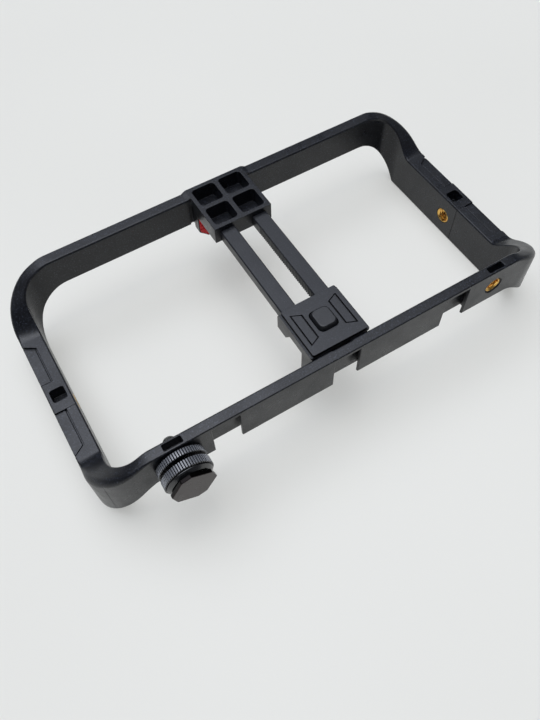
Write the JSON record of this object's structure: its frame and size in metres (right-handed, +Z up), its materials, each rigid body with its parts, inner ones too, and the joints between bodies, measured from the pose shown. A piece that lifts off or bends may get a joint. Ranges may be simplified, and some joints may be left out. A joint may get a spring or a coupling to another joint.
{
  "type": "phone video cage",
  "caption": "Handheld ring cage for filming with a phone: sliding phone clamp with release button, cold shoes, threaded inserts and a screw-in shoe adapter.",
  "frame": {"origin": "on the surface under the grips, below the centre of the whole part's bounding box, shoe adapter included", "axes": "+X along the rails toward the free shoe-rail insert, +Y from the shoe rail to the back rail, +Z up out of the surface, toward the side with the release button"},
  "size_m": [0.2274, 0.1278, 0.0491],
  "materials": {
    "frame_plastic": "fine-grained matte charcoal plastic",
    "slider_plastic": "fine-grained matte grey-charcoal plastic",
    "button_plastic": "matte charcoal plastic",
    "pad_silicone": "soft matte red silicone",
    "insert_brass": "turned brass",
    "nut_black": "black anodised, straight knurl",
    "washer_black": "black",
    "foot_metal": "satin gunmetal",
    "stud_steel": "cut thread, slightly oiled",
    "screw_steel": "zinc plated",
    "spring_steel": "bright spring wire",
    "pawl_acetal": "white acetal"
  },
  "bodies": {
    "frame": {"front_frame": "frame_plastic", "rear_frame": "frame_plastic", "frame_screws": "screw_steel", "left_bar": "slider_plastic", "right_bar": "slider_plastic", "bar_screws": "screw_steel", "fixed_jaw_pad": "pad_silicone", "grip_insert_left": "insert_brass", "grip_insert_right": "insert_brass", "shoe_rail_insert_left": "insert_brass", "shoe_rail_insert_right": "insert_brass", "tripod_insert": "insert_brass"},
    "slider": {"slider_body": "frame_plastic", "slider_cover": "slider_plastic", "cover_screws": "screw_steel", "slider_pad": "pad_silicone", "button_springs": "spring_steel", "pawl_spring": "spring_steel"},
    "button": {"release_button": "button_plastic"},
    "pawl": {"pawl": "pawl_acetal"},
    "adapter_screw": {"adapter_stud": "stud_steel", "adapter_foot": "foot_metal"},
    "lock_washer": {"lock_washer": "washer_black"},
    "lock_nut": {"lock_nut": "nut_black"},
    "clamp_flange": {"clamp_flange": "nut_black"},
    "clamp_nut": {"clamp_nut": "nut_black"}
  },
  "joints": [
    {"name": "clamp_slide", "type": "slide", "parent": "frame", "child": "slider", "axis": [0, 1, 0], "range_m": [0, 0.036]},
    {"name": "button_press", "type": "slide", "parent": "slider", "child": "button", "axis": [0, 0, -1], "range_m": [0, 0.0015], "stiffness_N_per_m": 1500, "springref_m": -0.001, "deforming": ["button_springs"]},
    {"name": "pawl_slide", "type": "slide", "parent": "slider", "child": "pawl", "axis": [-1, 0, 0], "range_m": [0, 0.0009], "stiffness_N_per_m": 300, "springref_m": -0.001, "deforming": ["pawl_spring"]},
    {"name": "adapter_turn", "type": "hinge", "parent": "frame", "child": "adapter_screw", "pos_m": [-0.0785, -0.05335, 0.035], "axis": [0, -1, 0], "range_deg": [-90, 90]},
    {"name": "lock_washer_slide", "type": "slide", "parent": "adapter_screw", "child": "lock_washer", "axis": [0, -1, 0], "range_m": [0, 0.0005]},
    {"name": "lock_nut_turn", "type": "hinge", "parent": "lock_washer", "child": "lock_nut", "pos_m": [-0.0785, -0.05275, 0.035], "axis": [0, -1, 0], "range_deg": [0, 142]},
    {"name": "clamp_flange_slide", "type": "slide", "parent": "adapter_screw", "child": "clamp_flange", "axis": [0, -1, 0], "range_m": [-0.0006, 0.0005]},
    {"name": "clamp_nut_turn", "type": "hinge", "parent": "clamp_flange", "child": "clamp_nut", "pos_m": [-0.0785, -0.05765, 0.035], "axis": [0, -1, 0], "range_deg": [-171, 142]}
  ],
  "couplings": [
    {"joint": "pawl_slide", "follows": "button_press", "ratio": 0.6},
    {"joint": "lock_nut_turn", "follows": "lock_washer_slide", "rad_per_m": 4947.4},
    {"joint": "clamp_nut_turn", "follows": "clamp_flange_slide", "rad_per_m": 4947.4}
  ]
}
